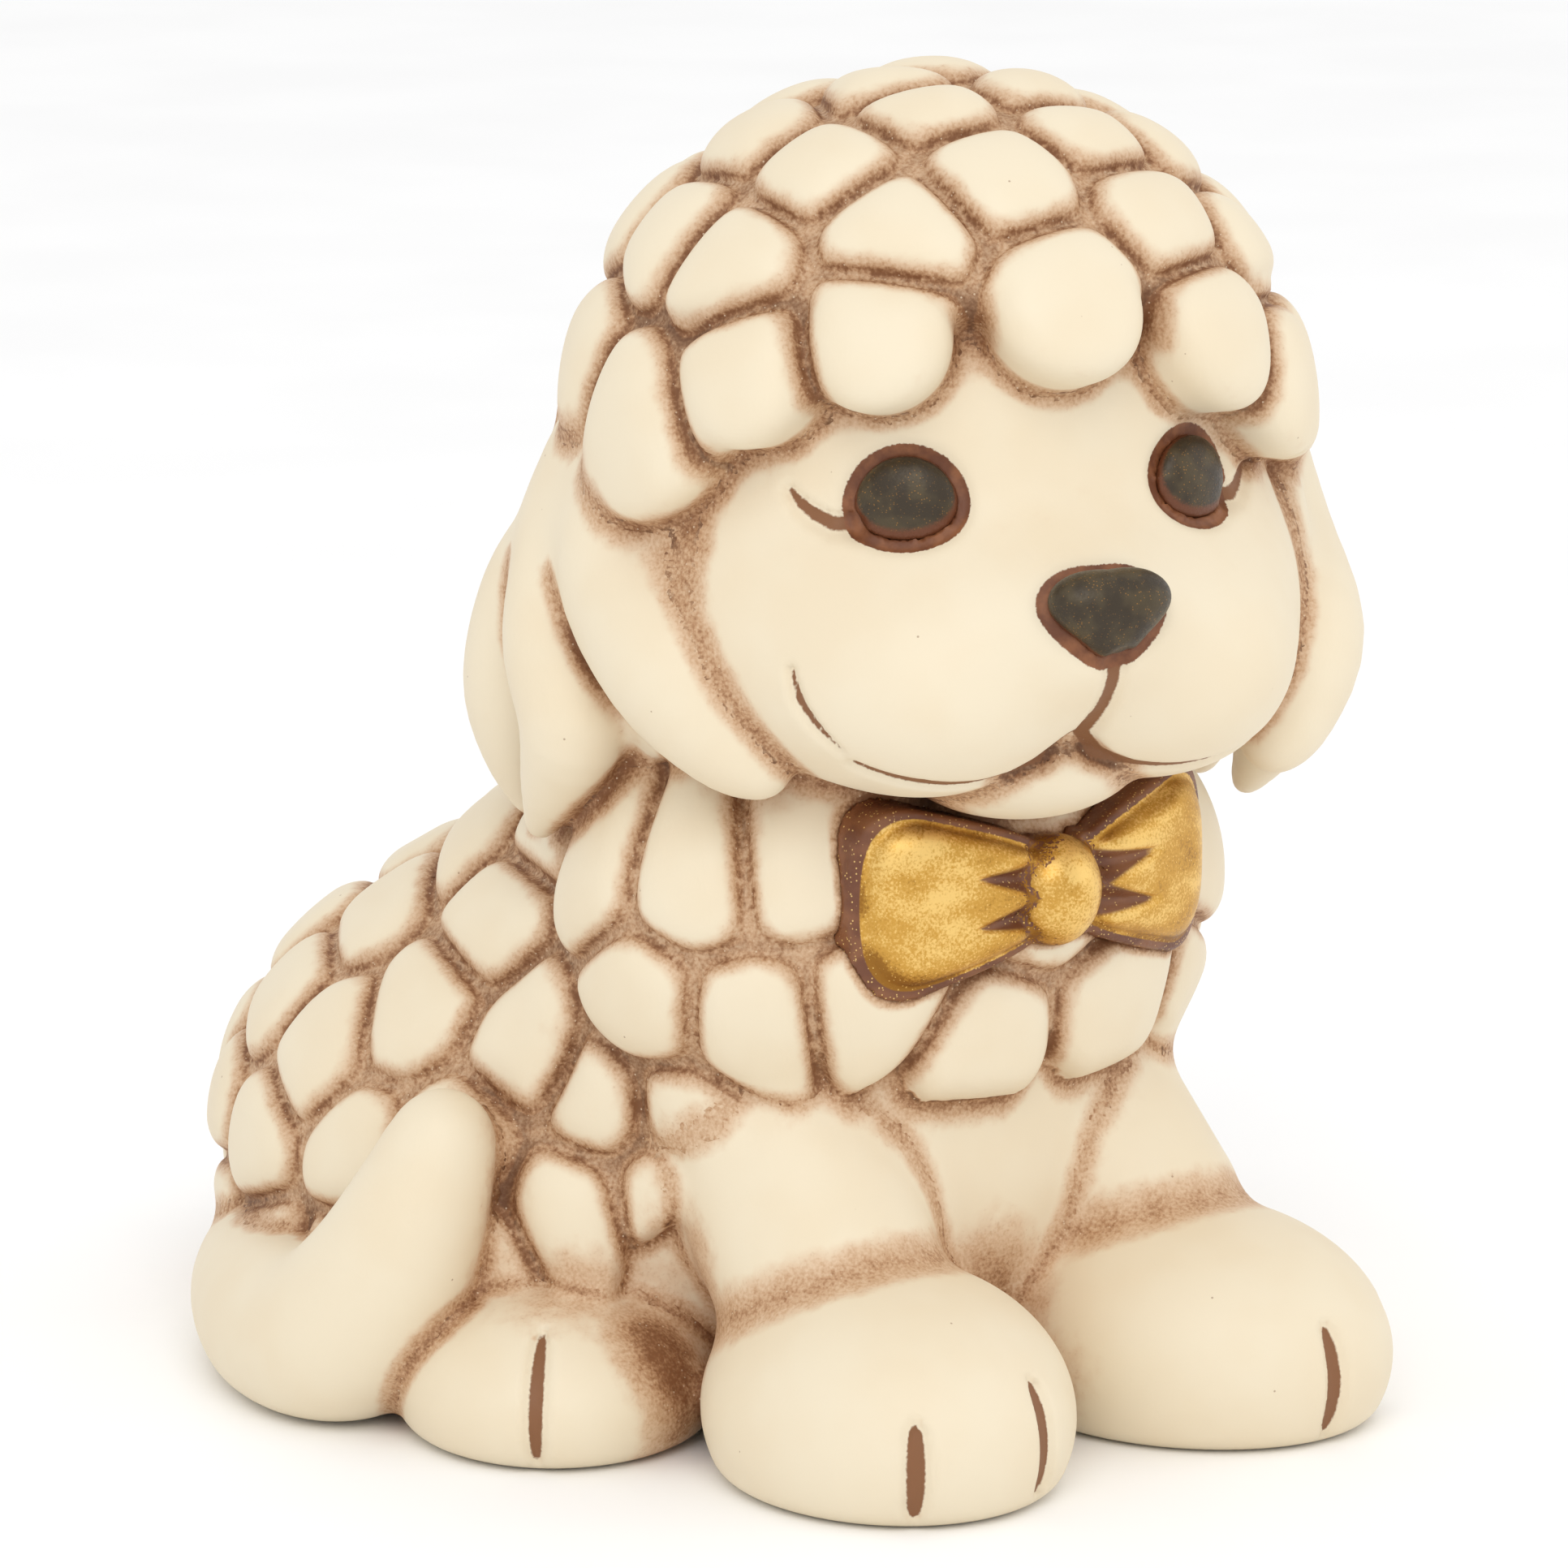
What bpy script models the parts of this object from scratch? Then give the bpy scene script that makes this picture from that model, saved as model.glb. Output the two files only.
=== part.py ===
"""Ceramic poodle figurine, sitting, with a bow tie: the separately modelled pieces of its assembly.

The figure sits on the ground plane with its chest towards -Y; +X is the dog's left side. The head is turned
a little to the dog's right. Every measure below is in millimetres for a figure 80 mm tall, and TALL scales
the whole of it. The torso and the head are hollow castings, and the other pieces are solid clay.
"""
import math

import bmesh
import bpy
from mathutils import Matrix, Vector

# Driving dimensions
TALL = 80.0                     # height of the figure over its curls, mm
UNIT = TALL / 80.0 * 0.001      # one stated millimetre, in metres
GAP = 0.3                       # glue line between neighbouring pieces
WALL = 3.2                      # thickness of the hollow castings
HEAD_AT = Vector((0.0, -10.0, 58.5))
HEAD_TURN = math.radians(-15.5)  # the head looks to the dog's right
BALL = 20.0                     # radius of the topknot under its curls
HEM_AT = (0.0, -18.0, 5.0)      # where the topknot's lower edge crosses the brow
HEM_SLOPE = math.radians(-24.0)  # and how it falls towards the nape
CURL_RISE = 2.0                 # how far a curl stands out of the topknot
SKULL = (18.0, 18.0, 18.6)
RUMP_AT = (0.0, 15.0, 11.5)
RUMP = (28.0, 29.3, 20.0)
CHEST_AT = (0.0, -6.0, 30.0)
CHEST = (21.2, 14.3, 15.5)
NAPE_AT = (0.0, 7.0, 26.0)
NAPE = (17.5, 17.0, 14.5)
NECK_AT = (0.0, -2.0, 40.0)
NECK = (14.0, 13.0, 12.0)
VENT_AT = (0.0, 14.0)           # drain hole of the casting, in the floor
VENT_RADIUS = 5.0
POUR_AT = (0.0, -4.0)           # passage between the castings, in the top of the neck
POUR_RADIUS = 6.5
FLUE_TOP = 8.0                  # the vent's cutter ends inside the body's hollow
POUR_SPAN = (40.0, 60.0)        # heights between which the passage's cutter runs
FOOT_TURN = 38.0                # the hind feet point outwards
PAW_TURN = 17.0                 # and so do the forepaws, less
STANCE = 1.4                    # the left foreleg stands this much further in than the right one
BOW_HALF = 12.8                 # from the bow's middle to the cut end of a loop
BEYOND = 60.0                   # further out than any part of the figure

CREAM = (0.93, 0.83, 0.64)
GOLD = (0.62, 0.37, 0.10)
BRONZE = (0.075, 0.055, 0.038)


# Scene, frames and materials

def clear_scene():
    for old in list(bpy.data.objects):
        bpy.data.objects.remove(old)


def new_collection(name):
    group = bpy.data.collections.new(name)
    bpy.context.scene.collection.children.link(group)
    return group


def head_frame():
    """From the head's own axes, face towards -Y, to the body's."""
    return Matrix.Translation(HEAD_AT) @ Matrix.Rotation(HEAD_TURN, 4, "Z")


def material(name, colour, roughness, metallic):
    paint = bpy.data.materials.new(name)
    paint.use_nodes = True
    shader = paint.node_tree.nodes["Principled BSDF"]
    shader.inputs["Base Color"].default_value = (*colour, 1.0)
    shader.inputs["Roughness"].default_value = roughness
    shader.inputs["Metallic"].default_value = metallic
    paint.diffuse_color = (*colour, 1.0)
    return paint


# Clay forms: each is a list of balls (centre, radii, turn in degrees)

def ball(centre, radii, turn=0.0):
    return Vector(centre), Vector(radii), turn


def roll(points, squash=1.0, step=1.2):
    """A tapering roll through (x, y, z, radius) points, as balls set close together."""
    balls = []
    for start, end in zip(points, points[1:]):
        a, b = Vector(start), Vector(end)
        count = max(2, math.ceil((b - a).length / step))
        for i in range(count + 1):
            x, y, z, radius = a.lerp(b, i / count)
            balls.append(ball((x, y, z), (radius, radius * squash, radius)))
    return balls


def mirrored(balls):
    """The same form on the dog's other side."""
    return [(Vector((-c.x, c.y, c.z)), r, -turn) for c, r, turn in balls]


def shrunk(balls, inset):
    """The same form with its surface moved inwards."""
    return [(c, Vector(r) - Vector((inset, inset, inset)), turn) for c, r, turn in balls]


def torso_balls():
    return [ball(RUMP_AT, RUMP), ball(CHEST_AT, CHEST), ball(NECK_AT, NECK), ball(NAPE_AT, NAPE),
            ball((0.0, 1.0, 19.0), (22.5, 14.0, 17.0)), ball((0.0, -9.0, 16.0), (12.5, 9.0, 14.0))]


def skull_balls():
    balls = [ball((0.0, 0.8, 0.5), SKULL)]
    for side in (-1, 1):
        balls.append(ball((9.5 * side, -6.0, -9.5), (9.8, 9.8, 8.6)))
        balls.append(ball((6.8 * side, -13.6, -12.0), (8.4, 8.6, 7.8)))
    balls.append(ball((0.0, -14.5, -8.0), (8.5, 9.8, 6.4)))
    return balls


def head_cavity_balls():
    return [ball((0.0, 0.8, 0.5), [r - WALL for r in SKULL]),
            ball((0.0, -3.0, -9.0), (9.0, 8.0, 8.0))]


def topknot_balls():
    """A ball with rows of curls, set half a curl apart from row to row."""
    balls = [ball((0.4, -0.4, 0.0), (BALL, BALL, BALL))]
    rows = ((8.0, 14, 5.6), (33.0, 12, 5.4), (58.0, 7, 5.4), (86.0, 1, 6.0))
    for row, (rise, count, size) in enumerate(rows):
        for k in range(count):
            around = math.tau * (k + 0.5 * (row % 2)) / count
            up = math.radians(rise)
            out = Vector((math.sin(around) * math.cos(up), -math.cos(around) * math.cos(up), math.sin(up)))
            balls.append(ball(out * (BALL + CURL_RISE - size), (size, size, size)))
    return balls


def ear_balls():
    """Three locks that hang side by side over a common root."""
    front = roll([(15.5, -3.5, -2.0, 4.0), (18.0, -4.5, -9.0, 6.0), (14.8, -9.0, -17.0, 4.4)])
    middle = roll([(17.5, 3.0, -3.0, 4.0), (21.0, 2.0, -11.0, 4.8), (20.0, 4.5, -20.5, 2.3)])
    rear = roll([(16.5, 8.0, -3.0, 4.0), (21.0, 9.5, -11.5, 4.7), (19.8, 8.6, -18.0, 3.1)])
    return front + middle + rear + [ball((18.2, 1.0, -8.5), (4.4, 11.8, 11.2))]


def foreleg_balls(inwards):
    leg = roll([(10.8 - inwards, -8.0, 18.0, 7.2), (12.2 - inwards, -14.5, 12.0, 7.0)])
    return leg + [ball((12.2 - inwards, -20.5, 5.0), (10.6, 12.4, 9.2), PAW_TURN)]


def hind_foot_balls():
    return [ball((20.5, 0.3, 2.8), (9.7, 12.0, 6.5), FOOT_TURN)]


def tail_balls():
    return roll([(-5.0, 36.5, 4.0, 4.4), (-15.5, 32.0, 4.0, 4.5), (-24.0, 24.5, 4.0, 4.6),
                 (-28.6, 16.5, 4.0, 4.9), (-30.0, 9.5, 4.8, 5.3), (-29.0, 5.6, 8.2, 5.3),
                 (-28.0, 2.6, 13.0, 4.6), (-26.4, 1.8, 17.6, 3.4)])


def bow_loop_balls():
    return roll([(4.0, -19.6, 33.4, 2.8), (8.8, -18.0, 33.4, 5.5)], squash=0.6, step=0.6)


# Solids from clay forms

def finished(ob):
    """Applies an object's modifiers, leaving a plain mesh."""
    graph = bpy.context.evaluated_depsgraph_get()
    mesh = bpy.data.meshes.new_from_object(ob.evaluated_get(graph))
    ob.modifiers.clear()
    ob.data = mesh
    return ob


def solid(name, balls, group, frame=Matrix.Identity(4), voxel=0.7, smooth=6, faces=600):
    """Presses balls into one closed body, smooths it and thins it to about so many triangles."""
    mesh = bpy.data.meshes.new(name)
    form = bmesh.new()
    for centre, radii, turn in balls:
        place = Matrix.Translation(centre) @ Matrix.Rotation(math.radians(turn), 4, "Z")
        place = place @ Matrix.Diagonal((*radii, 1.0))
        bmesh.ops.create_icosphere(form, subdivisions=3, radius=1.0,
                                   matrix=Matrix.Scale(UNIT, 4) @ frame @ place)
    form.to_mesh(mesh)
    form.free()
    ob = bpy.data.objects.new(name, mesh)
    group.objects.link(ob)
    remesh = ob.modifiers.new("fuse", "REMESH")
    remesh.mode = "VOXEL"
    remesh.voxel_size = voxel * UNIT
    relax = ob.modifiers.new("smooth", "SMOOTH")
    relax.factor = 0.5
    relax.iterations = smooth
    finished(ob)
    thin = ob.modifiers.new("thin", "DECIMATE")
    triangles = sum(len(p.vertices) - 2 for p in ob.data.polygons)
    thin.ratio = min(1.0, faces / triangles)
    return finished(ob)


def box(name, low, high, group, frame=Matrix.Identity(4)):
    """A cutter box between two corners."""
    mesh = bpy.data.meshes.new(name)
    form = bmesh.new()
    low, high = Vector(low), Vector(high)
    place = Matrix.Translation((low + high) / 2) @ Matrix.Diagonal((*(high - low), 1.0))
    bmesh.ops.create_cube(form, size=1.0, matrix=Matrix.Scale(UNIT, 4) @ frame @ place)
    form.to_mesh(mesh)
    form.free()
    ob = bpy.data.objects.new(name, mesh)
    group.objects.link(ob)
    return ob


def rod(name, low, high, radius, group):
    """An upright round cutter between two points."""
    mesh = bpy.data.meshes.new(name)
    form = bmesh.new()
    low, high = Vector(low), Vector(high)
    place = Matrix.Translation((low + high) / 2)
    bmesh.ops.create_cone(form, cap_ends=True, segments=32, radius1=radius, radius2=radius,
                          depth=(high - low).length, matrix=Matrix.Scale(UNIT, 4) @ place)
    form.to_mesh(mesh)
    form.free()
    ob = bpy.data.objects.new(name, mesh)
    group.objects.link(ob)
    return ob


def grown(ob, group, by=GAP):
    """A cutter a little larger than a piece, so that its neighbour keeps a glue line."""
    form = bmesh.new()
    form.from_mesh(ob.data)
    form.normal_update()
    for point in form.verts:
        point.co += point.normal * by * UNIT
    mesh = bpy.data.meshes.new(ob.name + "_grown")
    form.to_mesh(mesh)
    form.free()
    cutter = bpy.data.objects.new(mesh.name, mesh)
    group.objects.link(cutter)
    return cutter


def cut(ob, *cutters):
    for cutter in cutters:
        modifier = ob.modifiers.new("cut by " + cutter.name, "BOOLEAN")
        modifier.operation = "DIFFERENCE"
        modifier.solver = "EXACT"
        modifier.object = cutter
    return finished(ob)


def largest_body(ob):
    """Keeps the largest of the closed bodies that a cut has left, and drops its crumbs."""
    form = bmesh.new()
    form.from_mesh(ob.data)
    bmesh.ops.remove_doubles(form, verts=form.verts, dist=0.002 * UNIT)
    bmesh.ops.dissolve_degenerate(form, edges=form.edges, dist=0.002 * UNIT)
    left = set(form.verts)
    bodies = []
    while left:
        body = {left.pop()}
        edge = list(body)
        while edge:
            near = {e.other_vert(v) for v in edge for e in v.link_edges} - body
            body |= near
            edge = list(near)
        left -= body
        bodies.append(body)
    keep = max(bodies, key=len)
    bmesh.ops.delete(form, geom=[v for v in form.verts if v not in keep], context="VERTS")
    bmesh.ops.triangulate(form, faces=form.faces)
    form.to_mesh(ob.data)
    form.free()
    return ob


# The assembly

def hollow(shell, cavity, *openings):
    """Empties a casting and opens its drain holes."""
    cut(shell, cavity, *openings)
    return largest_body(shell)


def build():
    clear_scene()
    parts = new_collection("ceramic_dog_figurine")
    cutters = new_collection("cutters")
    head = head_frame()
    ground = box("below_ground", (-BEYOND, -BEYOND, -BEYOND), (BEYOND, BEYOND, 0.0), cutters)

    # whole forms first: their neighbours are fitted round these
    torso = solid("torso_shell", torso_balls(), parts, faces=1700, smooth=40)
    cut(torso, ground)
    torso_outside = grown(torso, cutters)
    skull = solid("head_shell", skull_balls(), parts, frame=head, faces=1500, smooth=8)
    cut(skull, torso_outside)
    largest_body(skull)
    skull_outside = grown(skull, cutters)

    # eyes and nose are pellets pressed into sockets
    pellets = []
    for side, name in ((-1, "eye_right"), (1, "eye_left")):
        eye = [ball((8.7 * side, -15.1, -1.2), (2.9, 1.4, 2.8), 29.0 * side)]
        pellets.append(solid(name, eye, parts, frame=head, voxel=0.25, smooth=1, faces=140))
    nose = [ball((0.0, -23.8, -6.0), (3.8, 1.8, 2.9))]
    pellets.append(solid("nose", nose, parts, frame=head, voxel=0.25, smooth=1, faces=140))
    sockets = [grown(pellet, cutters) for pellet in pellets]

    # topknot: the curls' cap, open below over the skull, with a hem that falls towards the nape
    cap = solid("topknot", topknot_balls(), parts, frame=head, voxel=0.6, smooth=3, faces=1900)
    slope = Matrix.Translation(HEM_AT) @ Matrix.Rotation(HEM_SLOPE, 4, "X")
    hem = box("hem", (-BEYOND, -BEYOND, -BEYOND), (BEYOND, BEYOND, 0.0), cutters, head @ slope)
    cut(cap, skull_outside, torso_outside, hem)
    largest_body(cap)
    cap_outside = grown(cap, cutters)

    chin = solid("chin", [ball((0.0, -11.5, -17.2), (6.5, 7.0, 4.2))], parts, frame=head, faces=140)
    cut(chin, skull_outside, torso_outside)
    largest_body(chin)

    ears = []
    for side, name in ((-1, "ear_right"), (1, "ear_left")):
        balls = ear_balls() if side > 0 else mirrored(ear_balls())
        ear = solid(name, balls, parts, frame=head, faces=420, smooth=4)
        cut(ear, skull_outside, cap_outside, torso_outside)
        ears.append(largest_body(ear))

    # limbs and tail, flat where they rest on the ground
    forelegs = []
    for side, name, inwards in ((-1, "foreleg_right", 0.0), (1, "foreleg_left", STANCE)):
        balls = foreleg_balls(inwards) if side > 0 else mirrored(foreleg_balls(inwards))
        leg = solid(name, balls, parts, faces=400)
        cut(leg, ground, torso_outside)
        forelegs.append(largest_body(leg))
    leg_outsides = [grown(leg, cutters) for leg in forelegs]
    feet = []
    for side, name in ((-1, "hind_foot_right"), (1, "hind_foot_left")):
        balls = hind_foot_balls() if side > 0 else mirrored(hind_foot_balls())
        foot = solid(name, balls, parts, faces=220)
        cut(foot, ground, torso_outside, *leg_outsides)
        feet.append(largest_body(foot))
    foot_outsides = [grown(foot, cutters) for foot in feet]
    tail = solid("tail", tail_balls(), parts, faces=640)
    cut(tail, ground, torso_outside, *foot_outsides)
    largest_body(tail)

    # bow tie
    knot = solid("bow_knot", [ball((0.0, -20.3, 33.3), (2.7, 2.4, 3.3))], parts, voxel=0.3, faces=140)
    cut(knot, torso_outside, skull_outside)
    largest_body(knot)
    knot_outside = grown(knot, cutters)
    chin_outside = grown(chin, cutters)
    bow = [knot]
    for side, name in ((-1, "bow_loop_right"), (1, "bow_loop_left")):
        balls = bow_loop_balls() if side > 0 else mirrored(bow_loop_balls())
        loop = solid(name, balls, parts, voxel=0.4, smooth=2, faces=240)
        end = box(name + "_end", (BOW_HALF, -BEYOND, 0.0), (BEYOND, 0.0, BEYOND), cutters)
        if side < 0:
            end.data.transform(Matrix.Scale(-1, 4, (1, 0, 0)))
            end.data.flip_normals()
        cut(loop, torso_outside, skull_outside, knot_outside, chin_outside, end)
        bow.append(largest_body(loop))

    # the castings are hollow, and open into each other at the neck
    cut(skull, *sockets)
    head_room = solid("head_room", head_cavity_balls(), cutters, frame=head, faces=360)
    hollow(skull, head_room)
    inner = solid("torso_room", shrunk(torso_balls(), WALL), cutters, faces=600, smooth=10)
    cut(inner, box("floor_slab", (-BEYOND, -BEYOND, -BEYOND), (BEYOND, BEYOND, WALL), cutters))
    vent = rod("vent", (*VENT_AT, -FLUE_TOP), (*VENT_AT, FLUE_TOP), VENT_RADIUS, cutters)
    pour = rod("pour_hole", (*POUR_AT, POUR_SPAN[0]), (*POUR_AT, POUR_SPAN[1]), POUR_RADIUS, cutters)
    hollow(torso, inner, vent, pour)

    paint(parts)
    rest(parts)
    for cutter in cutters.objects:
        cutter.hide_render = True
        cutter.display_type = "WIRE"


def paint(parts):
    """One finish for each piece: washed bisque, gold lustre or bronze lustre."""
    for ob in parts.objects:
        if ob.name.startswith("bow"):
            finish = material(ob.name, GOLD, 0.38, 0.7)
        elif ob.name.startswith(("eye", "nose")):
            finish = material(ob.name, BRONZE, 0.42, 0.3)
        else:
            finish = material(ob.name, CREAM, 0.6, 0.0)
        ob.data.materials.clear()
        ob.data.materials.append(finish)


def rest(parts):
    """Parents the pieces to a stand point and puts the footprint's middle on the origin."""
    lows = [min(v.co[axis] for ob in parts.objects for v in ob.data.vertices) for axis in range(3)]
    highs = [max(v.co[axis] for ob in parts.objects for v in ob.data.vertices) for axis in range(3)]
    stand = bpy.data.objects.new("stand_point", None)
    bpy.context.scene.collection.objects.link(stand)
    stand.location = (-(lows[0] + highs[0]) / 2, -(lows[1] + highs[1]) / 2, -lows[2])
    for ob in parts.objects:
        ob.parent = stand


build()
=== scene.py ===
"""Looks of the ceramic poodle figurine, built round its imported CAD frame.

Every piece is clay: its form is a distance field in millimetres, in the body's own frame (chest towards -Y,
dog's left +X, ground z = 0). All the fields are pressed together into one skin, and each piece is meshed as a
closed solid that ends where its neighbour begins. Paint follows the form: how near a point is to a crease
decides how much brown wash it holds.
"""
import math

import bpy
import numpy as np
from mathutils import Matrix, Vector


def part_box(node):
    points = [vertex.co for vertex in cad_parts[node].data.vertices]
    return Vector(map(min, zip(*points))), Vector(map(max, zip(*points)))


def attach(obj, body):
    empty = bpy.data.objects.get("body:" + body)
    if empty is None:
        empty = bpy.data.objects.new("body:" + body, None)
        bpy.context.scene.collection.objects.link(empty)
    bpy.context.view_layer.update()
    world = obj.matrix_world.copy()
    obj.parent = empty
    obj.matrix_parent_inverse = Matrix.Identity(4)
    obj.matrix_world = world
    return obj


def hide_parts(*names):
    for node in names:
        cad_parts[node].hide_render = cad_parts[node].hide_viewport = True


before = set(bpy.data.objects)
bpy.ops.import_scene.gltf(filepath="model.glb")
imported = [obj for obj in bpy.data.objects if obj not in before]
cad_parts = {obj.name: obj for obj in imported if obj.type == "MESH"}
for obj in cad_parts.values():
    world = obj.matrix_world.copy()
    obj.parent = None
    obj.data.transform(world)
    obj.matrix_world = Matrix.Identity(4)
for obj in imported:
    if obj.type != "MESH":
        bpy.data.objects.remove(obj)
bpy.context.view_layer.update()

F = np.float32
MM = 0.001

# Driving sizes in millimetres, for a figure 80 mm tall
HEAD_AT = np.array((0.0, -10.0, 58.5), F)
HEAD_TURN = -15.5
NOSE_AT = (0.0, -23.8, -6.0)
BALL_AT = (-0.3, -0.1, 0.0)
BALL = (20.6, 20.6, 19.9)
RUMP_AT = (0.0, 15.0, 11.5)
COAT_CENTRE = np.array((0.0, 10.0, 14.0), F)


# ---------------------------------------------------------------- clay: distance fields

def spin(degrees):
    """Turn about the vertical."""
    a = math.radians(degrees)
    return np.array(((math.cos(a), -math.sin(a), 0), (math.sin(a), math.cos(a), 0), (0, 0, 1)), F)


HEAD_SPIN = spin(HEAD_TURN)


def smin(a, b, k):
    """Joins two forms with a fillet about k wide."""
    h = np.maximum(k - np.abs(a - b), 0) / k
    return np.minimum(a, b) - h * h * k * F(0.25)


def smax(a, b, k):
    return -smin(-a, -b, k)


def ramp(x, low, high):
    """Smooth step from 0 at low to 1 at high."""
    t = np.clip((x - low) / (high - low), 0, 1)
    return t * t * (3 - 2 * t)


def egg(p, centre, radii, turn=0.0):
    """Ellipsoid."""
    q = p - np.array(centre, F)
    if turn:
        q = q @ spin(turn)
    r = np.array(radii, F)
    near = np.linalg.norm(q / r, axis=1)
    far = np.linalg.norm(q / (r * r), axis=1)
    return near * (near - 1) / np.maximum(far, F(1e-6))


def roll(p, points, k):
    """Tapering roll of clay through (x, y, z, radius) points."""
    out = None
    for start, end in zip(points, points[1:]):
        a, b = np.array(start[:3], F), np.array(end[:3], F)
        along = b - a
        t = np.clip((p - a) @ along / (along @ along), 0, 1)
        d = np.linalg.norm(p - a - t[:, None] * along, axis=1) - (start[3] + t * (end[3] - start[3]))
        out = d if out is None else smin(out, d, k)
    return out


def sides():
    return (("right", -1), ("left", 1))


def flipped(p, side):
    return p * np.array((side, 1, 1), F)


# ---------------------------------------------------------------- curls

def on_ball(seeds, radius, centre=(0, 0, 0)):
    """(azimuth towards the dog's right, elevation) in degrees, as points on a ball."""
    az, el = np.radians(np.array(seeds, F)).T
    out = np.stack((-np.sin(az) * np.cos(el), -np.cos(az) * np.cos(el), np.sin(el)), 1)
    return out * F(radius) + np.array(centre, F)


def crease(p, seeds, soft=0.5):
    """Which curl a point is on, how far it is from the crease round it, and from its middle."""
    which = np.empty(len(p), np.int32)
    edge = np.empty(len(p), F)
    middle = np.empty(len(p), F)
    gap = np.linalg.norm(seeds[:, None] - seeds[None], axis=2) + np.eye(len(seeds), dtype=F) * 1e3
    for at in range(0, len(p), 60000):
        q = p[at:at + 60000]
        d2 = (q * q).sum(1)[:, None] + (seeds * seeds).sum(1)[None] - 2 * q @ seeds.T
        own = d2.argmin(1)
        rows = np.arange(len(q))
        nearest = d2[rows, own]
        e = (d2 - nearest[:, None]) / (2 * gap[own])
        e[rows, own] = 1e3
        least = e.min(1)
        edge[at:at + 60000] = least - soft * np.log(np.exp(-(e - least[:, None]) / soft).sum(1))
        which[at:at + 60000] = own
        middle[at:at + 60000] = np.sqrt(np.maximum(nearest, 0))
    return which, np.maximum(edge, 0), middle


def pillow(edge, floor, width, rise):
    """Height of a curl over its crease: a flat valley floor, then a rounded shoulder."""
    t = np.clip((edge - floor) / width, 0, 1)
    return rise * np.sqrt(1 - (1 - t) ** 2)


TOP_HEM = ((-34, 23, 5.2), (0, 30, 5.0), (35, 25, 4.6), (58, 18, 4.7), (80, 8, 6.4), (103, 16, 6.0),
           (-55, 13, 5.8), (-76, 10, 6.2), (-99, 14, 6.2), (-122, 10, 6.2), (-146, 10, 6.4),
           (-170, 8, 6.4), (168, 8, 6.4), (147, 10, 6.4), (126, 10, 6.2))
TOP_UPPER = ((-33, 43), (33, 43), (66, 33), (10, 54), (56, 55), (91, 37), (-37, 62), (34, 72), (98, 58),
             (86, 80), (-59, 75), (-58, 34), (-68, 54), (-84, 34), (-112, 34), (-100, 56), (-140, 36),
             (-168, 36), (-140, 60), (163, 36), (137, 36), (115, 36), (150, 60), (-170, 80))
TOP_SEEDS = on_ball([s[:2] for s in TOP_HEM] + list(TOP_UPPER), 21.5)

COAT_SIDE = ((116, 50), (155, 34), (125, 30), (86, 38), (56, 40), (49, 26), (42, 37), (30, 37), (22, 24),
             (35, 23), (93, 22), (70, 20), (147, 18), (127, 15), (108, 12), (114, -1), (93, 1), (110, -14),
             (130, -12), (132, -1), (145, 4), (56, 13), (43, 13), (47, 3), (60, 0), (79, 54), (77, 6),
             (74, -8), (92, -12), (150, -12), (165, 10), (160, 50), (168, -4), (150, 65), (112, 70))
COAT_MIDDLE = ((8, 18), (-12, 19), (-34, 19), (-40, 30), (180, 24), (180, 44), (178, -16), (180, 2), (180, 60), (0, 34))
"""Curls of the coat, as seen from the middle of the body: one side's, and those on the middle or one side only."""
COAT = [s for s in COAT_SIDE] + [(-a, e) for a, e in COAT_SIDE if a > 44] + list(COAT_MIDDLE)


# ---------------------------------------------------------------- the pieces' forms

def torso_base(p):
    rump = egg(p, RUMP_AT, (27.3, 28.6, 19.3))
    nape = egg(p, (0, 7, 26), (16.8, 16.3, 13.3))
    chest = egg(p, (0, -6, 30), (20.5, 13.6, 14.8))
    neck = egg(p, (0, -2, 40), (15, 14, 12))
    belly = egg(p, (0, -9, 16), (12.5, 9, 17))
    body = smin(smin(smin(rump, nape, 8), chest, 7), neck, 5)
    return smin(body, belly, 4)


def coat_seeds():
    """Marches each curl's direction out to the torso's skin."""
    way = on_ball(COAT, 1.0)
    reach = np.full(len(way), 10, F)
    for _ in range(40):
        reach -= torso_base(COAT_CENTRE + way * reach[:, None])
    return COAT_CENTRE + way * reach[:, None]


COAT_SEEDS = coat_seeds()


def coat_hem(p):
    """Height of the coat's lower edge: over the forelegs in front, on the ground at the sides."""
    q = p - COAT_CENTRE
    az = np.degrees(np.arctan2(np.abs(q[:, 0]), -q[:, 1]))
    return np.interp(az, (0, 22, 36, 44, 52, 60, 70), (20.5, 21.0, 19.5, 15, 9, 2, -6)).astype(F)


def torso(p):
    base = torso_base(p)
    _, edge, middle = crease(p, COAT_SEEDS)
    coat = base - pillow(edge, 0.35, 2.3, 1.15) - 0.35 * np.clip(1 - (middle / 6) ** 2, 0, 1)
    scallop = 2.2 * np.clip(1 - edge / 2.6, 0, 1) ** 1.5
    hem = coat_hem(p) + scallop - p[:, 2]
    coat = smax(coat, hem * F(0.9), 2.0)
    return smin(coat, base + 0.6, 0.5), np.where(hem < 0, edge, hem * F(0.7))


def head_coordinates(p):
    return (p - HEAD_AT) @ HEAD_SPIN


def face(h):
    skull = egg(h, (0, 0.8, 0.5), (18.0, 18.0, 18.6))
    q = h.copy()
    q[:, 0] = np.abs(q[:, 0])
    cheek = egg(q, (9.5, -5.6, -9.2), (9.8, 9.8, 8.2))
    lobe = egg(q, (6.8, -13.6, -11.2), (8.4, 8.6, 6.9))
    cheek = smin(cheek, egg(h, (0, -6, -9.5), (9.0, 9.0, 8.0)), 3)
    bridge = egg(h, (0, -14.5, -8.0), (8.5, 9.8, 6.4))
    muzzle = smin(lobe, bridge, 3)
    return smin(smin(skull, cheek, 6), muzzle, 5)


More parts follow.
